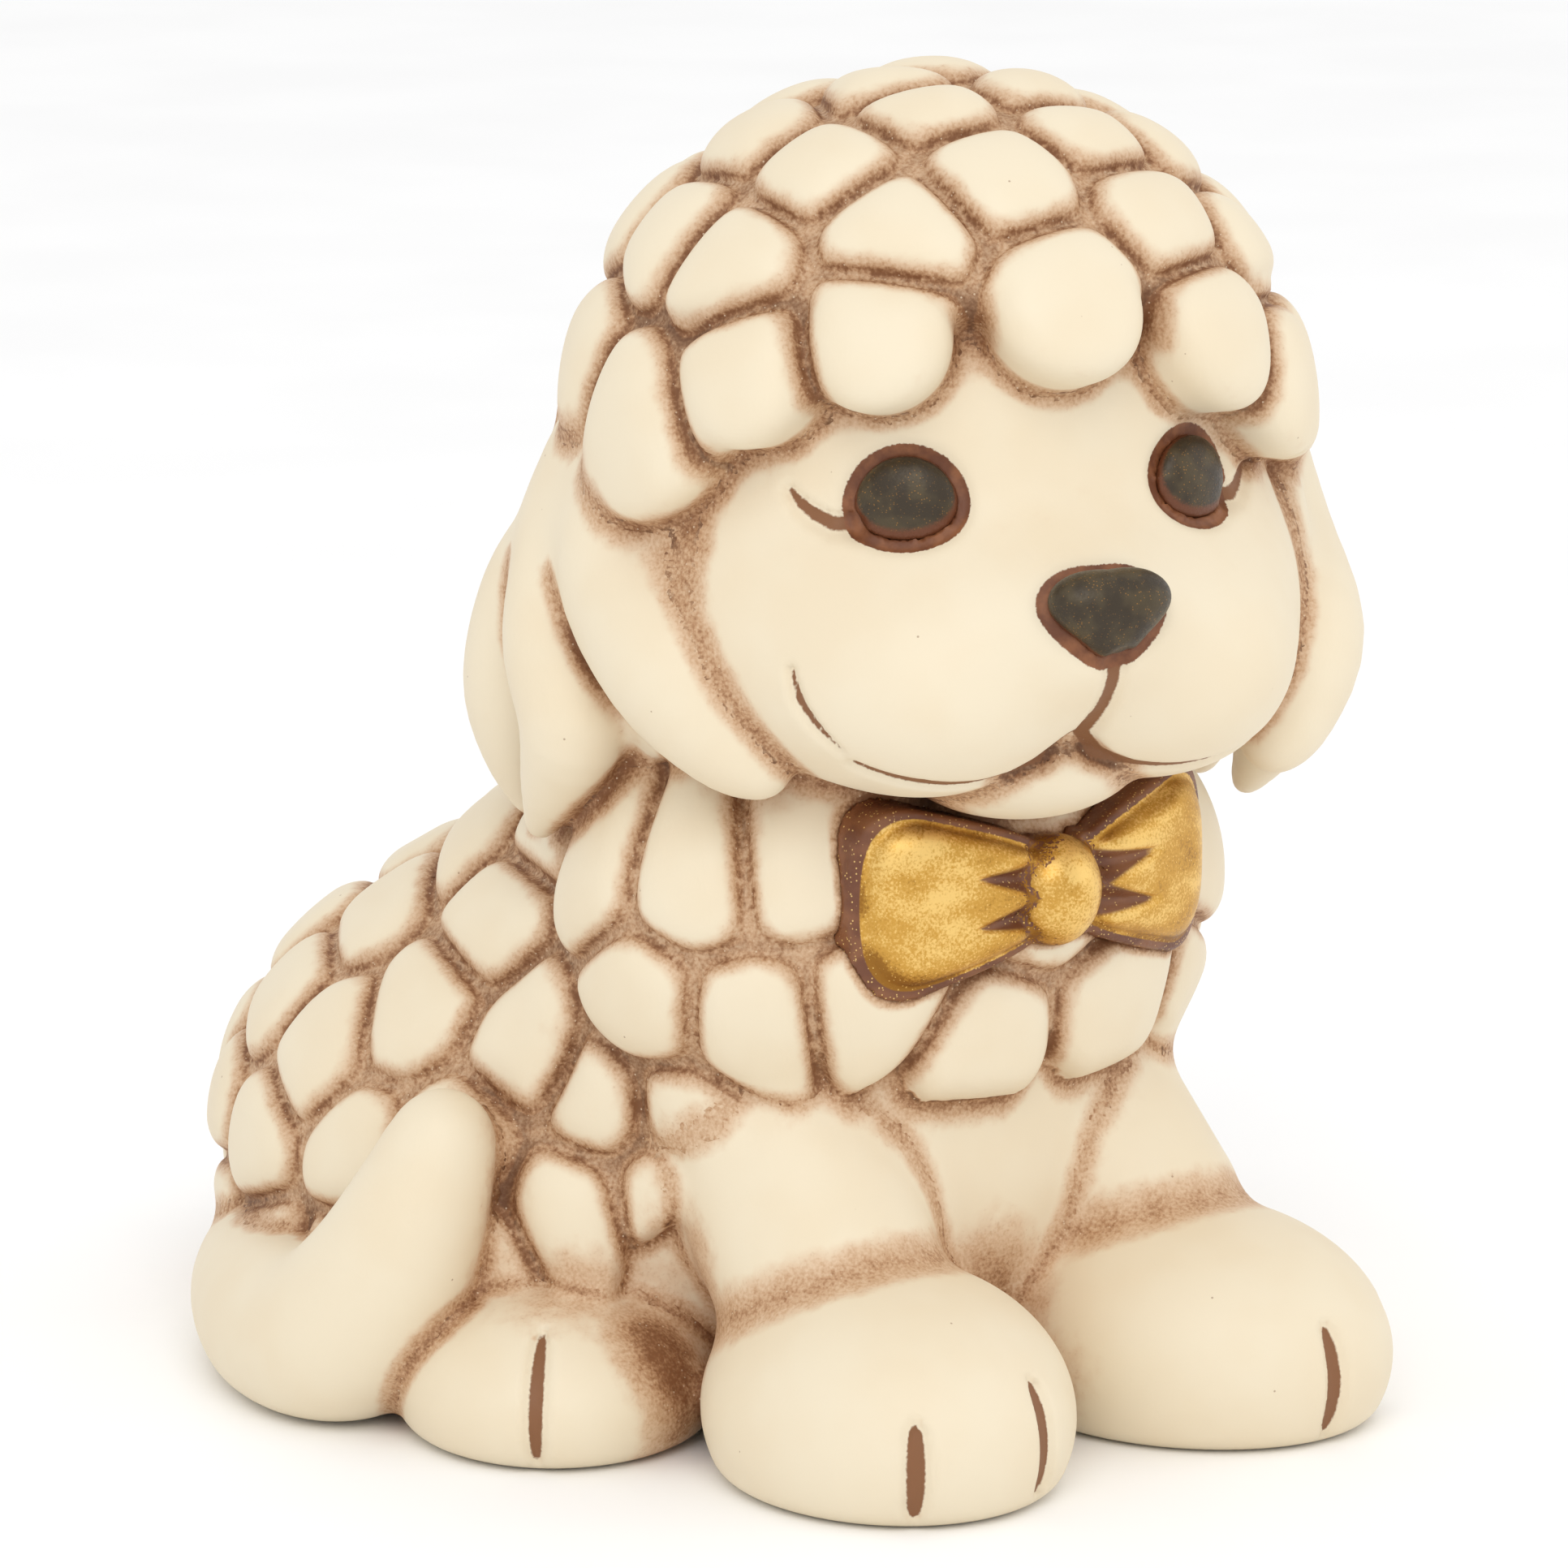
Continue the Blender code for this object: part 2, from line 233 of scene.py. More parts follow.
def chin(h):
    return egg(h, (0, -11.2, -16.5), (7.4, 7.0, 4.0))


def topknot(h):
    ball = egg(h, BALL_AT, BALL)
    out = h / np.maximum(np.linalg.norm(h, axis=1, keepdims=True), 1e-6) * F(21.5)
    _, edge, middle = crease(out, TOP_SEEDS)
    curls = ball - pillow(edge, 0.3, 3.1, 1.45) - 0.45 * np.clip(1 - (middle / 6.5) ** 2, 0, 1)
    hem = None
    for (_, _, reach), seed in zip(TOP_HEM, TOP_SEEDS):
        d = np.linalg.norm(out - seed, axis=1) - reach
        hem = d if hem is None else smin(hem, d, 2.0)
    upper = 7.4 - 0.17 * out[:, 1] - out[:, 2]
    return smax(curls, smin(hem, upper, 1.0), 2.2), edge


FRONT_LOCK = ((17.5, 0.9, -1.0, 4.0), (19.0, 0.6, -6.7, 4.3), (18.4, -5.0, -11.4, 4.3), (16.4, -8.3, -15.4, 2.9),
              (15.2, -9.8, -17.0, 1.3))
MIDDLE_LOCK = ((17.9, 5.6, -0.8, 3.2), (20.2, 6.3, -6.1, 3.3), (21.8, 5.2, -11.5, 3.2), (21.9, 2.6, -15.7, 3.1),
               (22.1, 5.0, -19.8, 2.0), (22.0, 8.0, -23.2, 0.8))
REAR_LOCK = ((16.9, 8.1, -0.8, 3.2), (18.6, 9.4, -5.8, 3.4), (20.3, 10.8, -10.3, 3.9), (21.0, 11.9, -15.6, 3.9),
             (21.2, 12.3, -19.8, 2.3), (20.9, 12.4, -22.6, 0.9))
EAR_SPREAD = np.array((1.3, -0.8, -1.0), F)


def smooth_path(points, steps=4):
    """A rounder path through the same points (Catmull-Rom)."""
    pts = np.array([points[0], *points, points[-1]], float)
    out = []
    for a, b, c, d in zip(pts, pts[1:], pts[2:], pts[3:]):
        for i in range(steps):
            t = i / steps
            out.append(0.5 * (2 * b + (c - a) * t + (2 * a - 5 * b + 4 * c - d) * t * t
                              + (3 * b - a - 3 * c + d) * t ** 3))
    out.append(pts[-1])
    return [tuple(q) for q in out]


LOCK_PATHS = [smooth_path(lock) for lock in (FRONT_LOCK, MIDDLE_LOCK, REAR_LOCK)]


def ear(q):
    """Three locks in one smooth lobe, parted by grooves that deepen downwards."""
    front, middle, rear = (roll(q, lock, 0.6) for lock in LOCK_PATHS)
    blend = (0.4 + 2.6 * ramp(q[:, 2], -13.0, -2.0)).astype(F)
    joined = smin(smin(front, middle, blend), rear, blend)
    ordered = np.sort(np.stack((front, middle, rear)), axis=0)
    groove = ordered[1] - ordered[0] + 0.6 * np.maximum(ordered[0], 0) + 4 * ramp(q[:, 2], -7.5, -3.5)
    return smin(joined, egg(q, (17.6, 3.0, -8.0), (3.6, 10.6, 10.5)), 1.0), groove


def foreleg(q, inwards):
    leg = roll(q, [(10.8 - inwards, -8.0, 18.0, 7.2), (12.2 - inwards, -14.9, 10.6, 6.7)], 3)
    paw = egg(q, (12.2 - inwards, -20.5, 4.0), (10.6, 12.4, 8.6), 17)
    return smin(leg, paw, 1.6), np.abs(leg - paw)


def hind_foot(q):
    return egg(q, (20.5, 0.3, 2.8), (9.7, 12.0, 6.5), 38)


TAIL = ((-5, 36.5, 4.0, 4.4), (-15.5, 32, 4.0, 4.5), (-24, 24.5, 4.0, 4.6), (-28.6, 16.5, 4.0, 4.9),
        (-30.0, 9.5, 4.8, 5.2), (-29.4, 5.9, 8.2, 4.8), (-28.4, 3.6, 13.0, 3.9), (-26.8, 2.8, 17.8, 2.8))


TAIL_PATH = smooth_path(TAIL)


def bow_outline(q):
    """How far a point lies outside the flared, round-cornered outline of the loop, seen from the front."""
    x, _, z = q.T
    t = np.clip((x - 2.2) / 10.0, 0, 1)
    rise = np.abs(z - 33.4) - 2.4 - 3.2 * t ** 0.8
    end = x - 12.6 + 0.03 * (z - 33.4) ** 2
    return smax(rise * F(0.9), end, 3.0)


def bow_loop(q):
    """Flared, puffed loop of the bow, x outwards from the knot, on a thin border."""
    x, y, _ = q.T
    skin = -21.2 + 3.2 * (x / 13) ** 2
    outline = bow_outline(q)
    puffed = smax(outline, np.abs(y - skin - 0.7) - 2.3, 2.0)
    border = smax(outline - 0.6, skin - 0.3 - y, 0.4)
    border = smax(border, y - skin - 4.5, 0.5)
    return smax(smin(puffed, border, 0.25), 1.0 - x, 0.4)


def bow_pleats(q):
    """Depth of the gathered folds beside the knot."""
    x, _, z = q.T
    cut = 0
    for lift in (-1.0, 0.9):
        t = np.clip((x - 2.4) / 4.6, 0, 1)
        width = 0.85 * (1 - t) + 0.1
        cut = np.maximum(cut, np.sqrt(1 - t) * np.exp(-((z - 33.4 - lift * (1 + 0.6 * t)) / width) ** 2))
    return cut


def nose(h):
    x, y, z = h.T
    q = np.stack((np.abs(x), y, z), 1)
    top = egg(q, (1.7, -23.6, -5.6), (2.1, 1.8, 1.6))
    tip = egg(h, (0, -23.9, -7.4), (1.8, 1.6, 1.7))
    return smin(smin(top, tip, 2.0), egg(h, (0, -23.8, -5.7), (3.0, 1.8, 1.9)), 1.2)


def eye(q):
    return egg(q, (8.7, -15.1, -1.2), (3.1, 1.6, 3.05), 29)


# ---------------------------------------------------------------- the pieces, and the skin they share

PIECES = ("torso_shell", "head_shell", "topknot", "chin", "ear_right", "ear_left", "foreleg_right",
          "foreleg_left", "hind_foot_right", "hind_foot_left", "tail", "bow_loop_right", "bow_loop_left",
          "bow_knot", "eye_right", "eye_left", "nose")
FILLET = {"torso_shell": 1.0, "head_shell": 1.4, "topknot": 1.0, "chin": 0.5, "ear": 1.2, "foreleg": 2.2,
          "hind_foot": 1.8, "tail": 1.2, "bow_loop": 0.5, "bow_knot": 0.4, "eye": 0.25, "nose": 0.3}
FAR = 5.0


def fillet(name):
    return FILLET.get(name) or FILLET[name.rsplit("_", 1)[0]]


def reach_of(name):
    """The space a piece's form may fill, from its CAD solid, in the body's millimetres."""
    low, high = (np.array(c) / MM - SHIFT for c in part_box(name))
    return low, high


def nose_in_body():
    return HEAD_AT + HEAD_SPIN @ np.array(NOSE_AT, F)


def frame_shift():
    """From the body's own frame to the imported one, in millimetres, read off the nose and the ground."""
    low, high = (np.array(c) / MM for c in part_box("nose"))
    middle = (low + high) / 2
    return np.array((middle[0] - nose_in_body()[0], middle[1] - nose_in_body()[1], 0.0))


SHIFT = frame_shift()
REACH = {name: reach_of(name) for name in PIECES}


def form(name, p):
    """One piece's own distance field, and how far each point is from the creases within it."""
    side = -1 if name.endswith("right") else 1
    far = np.full(len(p), 9, F)
    if name == "torso_shell":
        return torso(p)
    if name.startswith("foreleg"):
        leg, gap = foreleg(flipped(p, side), 0.0 if side < 0 else 1.4)
        return leg, gap + F(1.0)
    if name.startswith("hind_foot"):
        return hind_foot(flipped(p, side)), far
    if name == "tail":
        return roll(p, TAIL_PATH, 1.0), far
    if name.startswith("bow_loop"):
        q = flipped(p, side)
        return bow_loop(q) + 0.9 * bow_pleats(q), far
    if name == "bow_knot":
        return egg(p, (-0.6, -21.2, 33.3), (2.9, 2.6, 3.3)), far
    h = head_coordinates(p)
    if name == "head_shell":
        return face(h), far
    if name == "topknot":
        return topknot(h)
    if name == "chin":
        return chin(h), far
    if name.startswith("ear"):
        return ear(flipped(h, side) - EAR_SPREAD * (side > 0))
    if name.startswith("eye"):
        return eye(flipped(h, side)), far
    return nose(h), far


def forms(p):
    """Every piece's field. Far from its CAD solid, a piece's field is its distance from that solid's box."""
    own = np.empty((len(PIECES), len(p)), F)
    inner = np.full((len(PIECES), len(p)), 9, F)
    for i, name in enumerate(PIECES):
        low, high = REACH[name]
        box = np.linalg.norm(np.maximum(np.maximum(low - p, p - high), 0), axis=1).astype(F)
        own[i] = box
        near = box < FAR
        if near.any():
            own[i, near], inner[i, near] = form(name, p[near])
    return own, inner


def engraved(p, skin):
    """Lines cut with a tool: toes, mouth, cheeks, lashes and the rims of the eyes and the nose."""
    for depth, width, d in tool_lines(p):
        skin = skin + depth * np.exp(-np.maximum(d, 0) ** 2 / (width * width)).astype(F)
    return skin


def toe(p, centre, azimuth, low, high, half):
    """Signed distance to a spindle-shaped line down the front of a paw."""
    a = math.radians(azimuth)
    q = p - np.array(centre, F)
    ahead = -q[:, 1] * math.cos(a) + q[:, 0] * math.sin(a)
    across = q[:, 0] * math.cos(a) + q[:, 1] * math.sin(a)
    t = np.clip((p[:, 2] - low) / (high - low), 0, 1)
    width = half * np.sqrt(np.clip(1 - (2 * t - 1) ** 2, 0, 1)) ** 0.6
    d = np.abs(across) - width
    d = np.maximum(d, np.maximum(low - p[:, 2], p[:, 2] - high))
    return np.where(ahead > 2, d, 9).astype(F)


TOES = (((-12.2, -20.5, 0), -31, 0.9, 6.4, 0.5), ((-12.2, -20.5, 0), 12, 1.2, 7.6, 0.45),
        ((10.8, -20.5, 0), 4, 1.0, 7.2, 0.45), ((10.8, -20.5, 0), 47, 1.0, 7.0, 0.45),
        ((-20.5, 0.3, 0), -43, 0.9, 7.4, 0.38), ((20.5, 0.3, 0), 43, 0.9, 7.4, 0.38))
CHEEK = ((15.9, -15.3, -10.3, 0.1), (15.7, -15.8, -12.1, 0.26), (14.9, -16.4, -13.4, 0.2), (13.9, -17.3, -14.9, 0.05))
LASH = ((11.2, -14.0, -2.2, 0.36), (12.6, -13.5, -2.25, 0.3), (13.4, -12.6, -1.8, 0.28), (13.9, -11.9, -1.3, 0.24),
        (14.3, -11.2, -0.6, 0.12))
PHILTRUM = ((0.3, -24.0, -8.5, 0.4), (0.4, -23.1, -10.4, 0.34), (0.5, -21.6, -12.2, 0.34), (0.4, -19.4, -14.3, 0.42))
MOUTH = ((0.3, -19.4, -14.3, 0.46), (1.9, -18.9, -16.5, 0.5), (3.9, -19.3, -17.7, 0.42), (7.6, -20.0, -18.1, 0.34),
         (9.9, -19.6, -17.6, 0.3), (13.1, -17.6, -16.0, 0.14))


def face_lines(h):
    """Signed distance to the lines painted on the face."""
    m = np.abs(h) * np.array((1, 0, 0), F) + h * np.array((0, 1, 1), F)
    out = np.minimum(drawn(m, LASH), drawn(m, CHEEK))
    return np.minimum(out, np.minimum(drawn(h, PHILTRUM), drawn(m, MOUTH)))


def drawn(h, line):
    """Signed distance to a brush line, seen from the middle of the head."""
    line = np.array(line, float)
    reach = np.linalg.norm(line[:, :3], axis=1)
    middle = reach.mean()
    flat = np.column_stack((line[:, :3] * (middle / reach)[:, None], line[:, 3]))
    away = np.maximum(np.linalg.norm(h, axis=1, keepdims=True), F(1))
    return roll(h / away * F(middle), flat, 0.1)


def tool_lines(p):
    """(depth, width, signed distance) of each engraved line near these points."""
    lines = []
    if p[:, 2].min() < 12:
        for line in TOES:
            lines.append((0.45, 0.35, toe(p, *line)))
    if p[:, 2].max() > 36:
        h = head_coordinates(p)
        q = np.abs(h) * np.array((1, 0, 0), F) + h * np.array((0, 1, 1), F)
        lines.append((0.35, 0.35, face_lines(h)))
        rim = np.minimum(eye(q), nose(h))
        lines.append((0.25, 0.55, np.abs(rim - 0.15)))
    return lines


def skin_of(p, own):
    """All the pieces pressed together: the outside of the figure, flat on the ground, with its vent hole."""
    skin = own[0]
    for i, name in enumerate(PIECES[1:], 1):
        skin = smin(skin, own[i], fillet(name))
    skin = engraved(p, skin)
    skin = smax(skin, -p[:, 2], 1.2)
    vent = np.hypot(p[:, 0] - VENT_AT[0], p[:, 1] - VENT_AT[1]) - VENT_RADIUS
    hollow = smin(np.maximum(vent, p[:, 2] - 8), egg(p, RUMP_AT, (24, 25, 16)) + 0.0, 0.5)
    hollow = np.maximum(hollow, np.where(vent < 0, -1, WALL - p[:, 2]))
    return smax(skin, -hollow, 0.6)


VENT_AT = (0.0, 14.0)
VENT_RADIUS = 5.0
WALL = 3.2




# ---------------------------------------------------------------- meshing

FINE = {"torso_shell": 0.42, "head_shell": 0.30, "topknot": 0.36, "tail": 0.38, "ear_right": 0.34,
        "ear_left": 0.34, "foreleg_right": 0.36, "foreleg_left": 0.36, "hind_foot_right": 0.36,
        "hind_foot_left": 0.36, "bow_loop_right": 0.24, "bow_loop_left": 0.24, "bow_knot": 0.2,
        "eye_right": 0.2, "eye_left": 0.2, "nose": 0.2, "chin": 0.3}
COARSE = 4
OVERLAP = 0.7


def evaluate(field, p, step=120000):
    return np.concatenate([field(p[i:i + step]) for i in range(0, len(p), step)])


def sample(field, low, high, h):
    """The field on a grid of spacing h, worked out exactly only near its surface."""
    blocks = np.ceil((high - low) / (h * COARSE)).astype(int)
    axes = [low[i] + np.arange(blocks[i] + 1) * h * COARSE for i in range(3)]
    corners = np.stack(np.meshgrid(*axes, indexing="ij"), -1).reshape(-1, 3).astype(F)
    rough = evaluate(field, corners).reshape(blocks + 1)
    least = np.full(tuple(blocks), 1e3, F)
    for i in (0, 1):
        for j in (0, 1):
            for k in (0, 1):
                part = rough[i:i + blocks[0], j:j + blocks[1], k:k + blocks[2]]
                least = np.minimum(least, np.abs(part))
    near = least < h * (COARSE + 0.6)
    sizes = blocks * COARSE + 1
    wanted = np.zeros(tuple(sizes), bool)
    spread = near.repeat(COARSE, 0).repeat(COARSE, 1).repeat(COARSE, 2)
    for i in (0, 1):
        for j in (0, 1):
            for k in (0, 1):
                wanted[i:i + spread.shape[0], j:j + spread.shape[1], k:k + spread.shape[2]] |= spread
    grid = rough.repeat(COARSE, 0).repeat(COARSE, 1).repeat(COARSE, 2)[:sizes[0], :sizes[1], :sizes[2]].copy()
    at = np.argwhere(wanted)
    grid[wanted] = evaluate(field, (low + at * h).astype(F))
    return grid


def surface_nets(grid, low, h):
    """Vertices and quads of the closed surface where the grid changes sign."""
    inside = grid < 0
    cells = tuple(n - 1 for n in grid.shape)
    count = np.zeros(cells, np.int8)
    for i in (0, 1):
        for j in (0, 1):
            for k in (0, 1):
                count += inside[i:i + cells[0], j:j + cells[1], k:k + cells[2]]
    active = (count > 0) & (count < 8)
    at = np.argwhere(active)
    number = np.full(cells, -1, np.int32)
    number[active] = np.arange(len(at))
    total = np.zeros((len(at), 3))
    hits = np.zeros(len(at))
    for axis in range(3):
        step = np.eye(3, dtype=int)[axis]
        others = [a for a in range(3) if a != axis]
        for u in (0, 1):
            for v in (0, 1):
                start = at.copy()
                start[:, others[0]] += u
                start[:, others[1]] += v
                a = grid[tuple(start.T)]
                b = grid[tuple((start + step).T)]
                crossed = (a < 0) != (b < 0)
                t = np.where(crossed, a / np.where(crossed, a - b, 1), 0)
                total += (start + t[:, None] * step) * crossed[:, None]
                hits += crossed
    verts = low + total / hits[:, None] * h
    quads = []
    for axis in range(3):
        u, v = (axis + 1) % 3, (axis + 2) % 3
        changed = np.argwhere(np.take(inside, range(1, grid.shape[axis]), axis)
                              != np.take(inside, range(grid.shape[axis] - 1), axis))
        ok = (changed[:, u] > 0) & (changed[:, v] > 0)
        ok &= (changed[:, u] < cells[u]) & (changed[:, v] < cells[v])
        changed = changed[ok]
        ring = []
        for du, dv in ((-1, -1), (0, -1), (0, 0), (-1, 0)):
            cell = changed.copy()
            cell[:, u] += du
            cell[:, v] += dv
            ring.append(number[tuple(cell.T)])
        quad = np.stack(ring, 1)
        outwards = inside[tuple(changed.T)]
        quads.append(np.where(outwards[:, None], quad, quad[:, ::-1]))
    return verts, np.concatenate(quads)


def slope(field, p, step=0.08):
    """Gradient of a field, from four points round each one."""
    total = np.zeros_like(p)
    for way in ((1, -1, -1), (-1, -1, 1), (-1, 1, -1), (1, 1, 1)):
        way = np.array(way, F)
        total += way * evaluate(field, p + way * F(step))[:, None]
    return total / F(4 * step)


def settled(field, verts, rounds=2):
    """Moves each vertex onto the surface, along the slope."""
    p = verts.astype(F)
    for _ in range(rounds):
        g = slope(field, p)
        g2 = np.maximum((g * g).sum(1, keepdims=True), F(0.25))
        move = evaluate(field, p)[:, None] * g / g2
        size = np.linalg.norm(move, axis=1, keepdims=True)
        p = p - move * np.minimum(1, 0.15 / np.maximum(size, F(1e-6)))
    return p


def whole_skin(p):
    own, _ = forms(p)
    return skin_of(p, own)


def finish_of(name):
    if name.startswith("bow"):
        return "gold_lustre"
    if name == "nose" or name.startswith("eye"):
        return "bronze_lustre"
    return "washed_bisque"


def bounds_of(index, h):
    """Box that the piece's mesh fits in: its CAD solid's box grown by 3.5 mm, reaching no lower than 1 mm under the
    ground.
    """
    low, high = REACH[PIECES[index]]
    return np.maximum(low - 3.5, (-99, -99, -1.0)), high + 3.5


def mesh_of(index):
    name = PIECES[index]
    h = FINE[name] * 1.0
    finish = finish_of(name)
    margin = np.array([[OVERLAP if finish_of(other) == finish else 0.0] for other in PIECES], F)
    margin = np.delete(margin, index, 0)

    def field(p):
        own, _ = forms(p)
        others = (np.delete(own, index, 0) + margin).min(0)
        return np.maximum(skin_of(p, own), (own[index] - others) * F(0.5))

    low, high = bounds_of(index, h)
    verts, quads = surface_nets(sample(field, low, high, h), low, h)
    return settled(field, verts), quads


# ---------------------------------------------------------------- paint

def hollows(p, n):
    """How enclosed each point is, 0 open to 1 buried, from the free room straight above it."""
    total = 0
    for reach, share in ((0.5, 0.25), (1.1, 0.4), (2.4, 0.35)):
        room = evaluate(whole_skin, p + n * F(reach))
        total = total + share * np.clip(1 - room / reach, 0, 1)
    return total


def crease_distance(index, p):
    """Distance along the skin to the nearest crease, within the piece or where it meets another one.

    The eyes and the nose have painted rims instead, so they don't count as neighbours of the head.
    """
    left_out = [index]
    if PIECES[index] == "head_shell":
        left_out += [i for i, name in enumerate(PIECES) if finish_of(name) == "bronze_lustre"]

    spread = np.array([[2.6 if name.startswith("bow") else 0.75 if name.startswith("ear") else 0.95]
                       for name in PIECES], F)

    def nearest(q):
        own, inner = forms(q)
        rest = np.delete(own * spread, left_out, 0).min(0)
        return np.minimum(inner[index], np.maximum(rest, 0))
    return evaluate(nearest, p)


def line_distance(p):
    """Signed distance to the nearest painted line."""
    def nearest(q):
        out = np.full(len(q), 3, F)
        for line in TOES:
            out = np.minimum(out, toe(q, *line))
        return np.where(q[:, 2] > 34, np.minimum(out, face_lines(head_coordinates(q))), out)
    return evaluate(nearest, p)


def rim_distance(p):
    """Distance from the edges of the eyes and the nose."""
    def nearest(q):
        h = head_coordinates(q)
        m = np.abs(h) * np.array((1, 0, 0), F) + h * np.array((0, 1, 1), F)
        return np.minimum(eye(m), nose(h))
    return evaluate(nearest, p)


STAINS = (((-19.5, -9.0, 6.0), (4.0, 4.4, 9.0), 1.0), ((-22.0, -4.0, 9.5), (7.0, 6.0, 3.0), 0.5),
          ((-24.5, 2.5, 12.0), (3.5, 4.0, 9.0), 0.6), ((-1.5, -16.8, 8.5), (4.5, 4.0, 5.0), 0.75))
"""Places where the wash was left thick: centre, radii, strength."""


def stained(p):
    total = np.zeros(len(p), F)
    for centre, radii, amount in STAINS:
        q = (p - np.array(centre, F)) / np.array(radii, F)
        total = np.maximum(total, amount * np.clip(1.3 - np.linalg.norm(q, axis=1), 0, 1))
    return total


def wrist(p):
    """Band of wash round the wrists."""
    total = np.zeros(len(p), F)
    for name in ("foreleg_right", "foreleg_left"):
        side = -1 if name.endswith("right") else 1
        q = flipped(p, side)
        form_of_leg, gap = foreleg(q, 0.0 if side < 0 else 1.4)
        front = (form_of_leg < 0.5) & (p[:, 1] < -9) & (p[:, 2] < 18) & (p[:, 2] > 5)
        total = np.maximum(total, np.where(front, 1 - np.clip(gap / 2.6, 0, 1) ** 1.5, 0))
    return total


def painted(index, verts):
    p = verts.astype(F)
    n = slope(whole_skin, p)
    n /= np.maximum(np.linalg.norm(n, axis=1, keepdims=True), F(1e-6))
    return {"hollow": hollows(p, n), "crease": crease_distance(index, p), "line": line_distance(p),
            "rim": rim_distance(p), "stain": np.maximum(stained(p), 0.7 * wrist(p))}


# ---------------------------------------------------------------- materials

class Paint:
    """Builds one node material."""

    def __init__(self, name):
        self.material = bpy.data.materials.new(name)
        self.material.use_nodes = True
        self.tree = self.material.node_tree
        self.tree.nodes.clear()
        self.place = self.node("ShaderNodeTexCoord").outputs["Object"]

    def node(self, kind, **settings):
        node = self.tree.nodes.new(kind)
        for key, value in settings.items():
            setattr(node, key, value)
        return node

    def put(self, socket, value):
        if isinstance(value, bpy.types.NodeSocket):
            self.tree.links.new(value, socket)
        else:
            socket.default_value = value

    def value(self, name):
        return self.node("ShaderNodeAttribute", attribute_name=name).outputs["Fac"]

    def noise(self, size_mm, detail=2.0, stretch=(1, 1, 1), rough=0.55):
        place = self.node("ShaderNodeMapping")
        self.put(place.inputs["Vector"], self.place)
        place.inputs["Scale"].default_value = [s / (size_mm * MM) for s in stretch]
        node = self.node("ShaderNodeTexNoise")
        self.put(node.inputs["Vector"], place.outputs[0])
        node.inputs["Scale"].default_value = 1.0
        node.inputs["Detail"].default_value = detail
        node.inputs["Roughness"].default_value = rough
        return node.outputs["Fac"]

    def dots(self, spacing_mm, size, share):
        """Round specks: some of the cells of a Voronoi pattern, each with a dot in it."""
        place = self.node("ShaderNodeMapping")
        self.put(place.inputs["Vector"], self.place)
        place.inputs["Scale"].default_value = [1 / (spacing_mm * MM)] * 3
        cells = self.node("ShaderNodeTexVoronoi")
        self.put(cells.inputs["Vector"], place.outputs[0])
        cells.inputs["Scale"].default_value = 1.0
        dot = self.span(cells.outputs["Distance"], size, size * 0.6)
        parts = self.node("ShaderNodeSeparateColor")
        self.put(parts.inputs[0], cells.outputs["Color"])
        chosen = self.span(parts.outputs[0], share, share * 0.98)
        return self.math("MULTIPLY", dot, chosen)

    def math(self, operation, a, b=0.0, clamp=False):
        node = self.node("ShaderNodeMath", operation=operation, use_clamp=clamp)
        self.put(node.inputs[0], a)
        self.put(node.inputs[1], b)
        return node.outputs[0]

    def span(self, value, start, end, low=0.0, high=1.0):
        """Smooth step of a value from low at start to high at end."""
        node = self.node("ShaderNodeMapRange", interpolation_type="SMOOTHSTEP")
        self.put(node.inputs["Value"], value)
        for key, number in (("From Min", start), ("From Max", end), ("To Min", low), ("To Max", high)):
            node.inputs[key].default_value = number
        return node.outputs["Result"]

    def mix(self, factor, a, b):
        node = self.node("ShaderNodeMix", data_type="RGBA")
        self.put(node.inputs[0], factor)
        self.put(node.inputs[6], a)
        self.put(node.inputs[7], b)
        return node.outputs[2]

    def finish(self, color, roughness, height, bump=0.2, **fixed):
        shader = self.node("ShaderNodeBsdfPrincipled")
        self.put(shader.inputs["Base Color"], color)
        self.put(shader.inputs["Roughness"], roughness)
        for key, value in fixed.items():
            self.put(shader.inputs[key.replace("_", " ")], value)
        relief = self.node("ShaderNodeBump")
        relief.inputs["Strength"].default_value = bump
        relief.inputs["Distance"].default_value = 0.1 * MM
        self.put(relief.inputs["Height"], height)
        self.put(shader.inputs["Normal"], relief.outputs[0])
        out = self.node("ShaderNodeOutputMaterial")
        self.put(out.inputs["Surface"], shader.outputs[0])
        return self.material


def srgb(red, green, blue):
    """Linear colour from the usual 0 to 255 values."""
    def linear(v):
        v /= 255
        return v / 12.92 if v <= 0.04045 else ((v + 0.055) / 1.055) ** 2.4
    return (linear(red), linear(green), linear(blue), 1.0)


CREAM = srgb(230, 217, 191)
CREAM_WARM = srgb(228, 213, 185)
BLUSH = srgb(214, 185, 153)
WASH = srgb(184, 143, 105)
UMBER = srgb(130, 86, 53)
DARK = srgb(84, 54, 36)
RIM = srgb(104, 58, 32)
RIM_THIN = srgb(138, 86, 52)
MICA = srgb(226, 205, 176)
GOLD = srgb(204, 156, 72)
GOLD_LIGHT = srgb(238, 200, 122)
GOLD_DARK = srgb(150, 104, 42)
BOW_EDGE = srgb(128, 80, 48)
BRONZE = srgb(54, 43, 27)
BRONZE_LIGHT = srgb(74, 62, 40)


def mix_rim(paint, mottle):
    """Red-brown of the painted rims, thinner in places."""
    return paint.mix(paint.span(mottle, 0.35, 0.7), RIM, RIM_THIN)


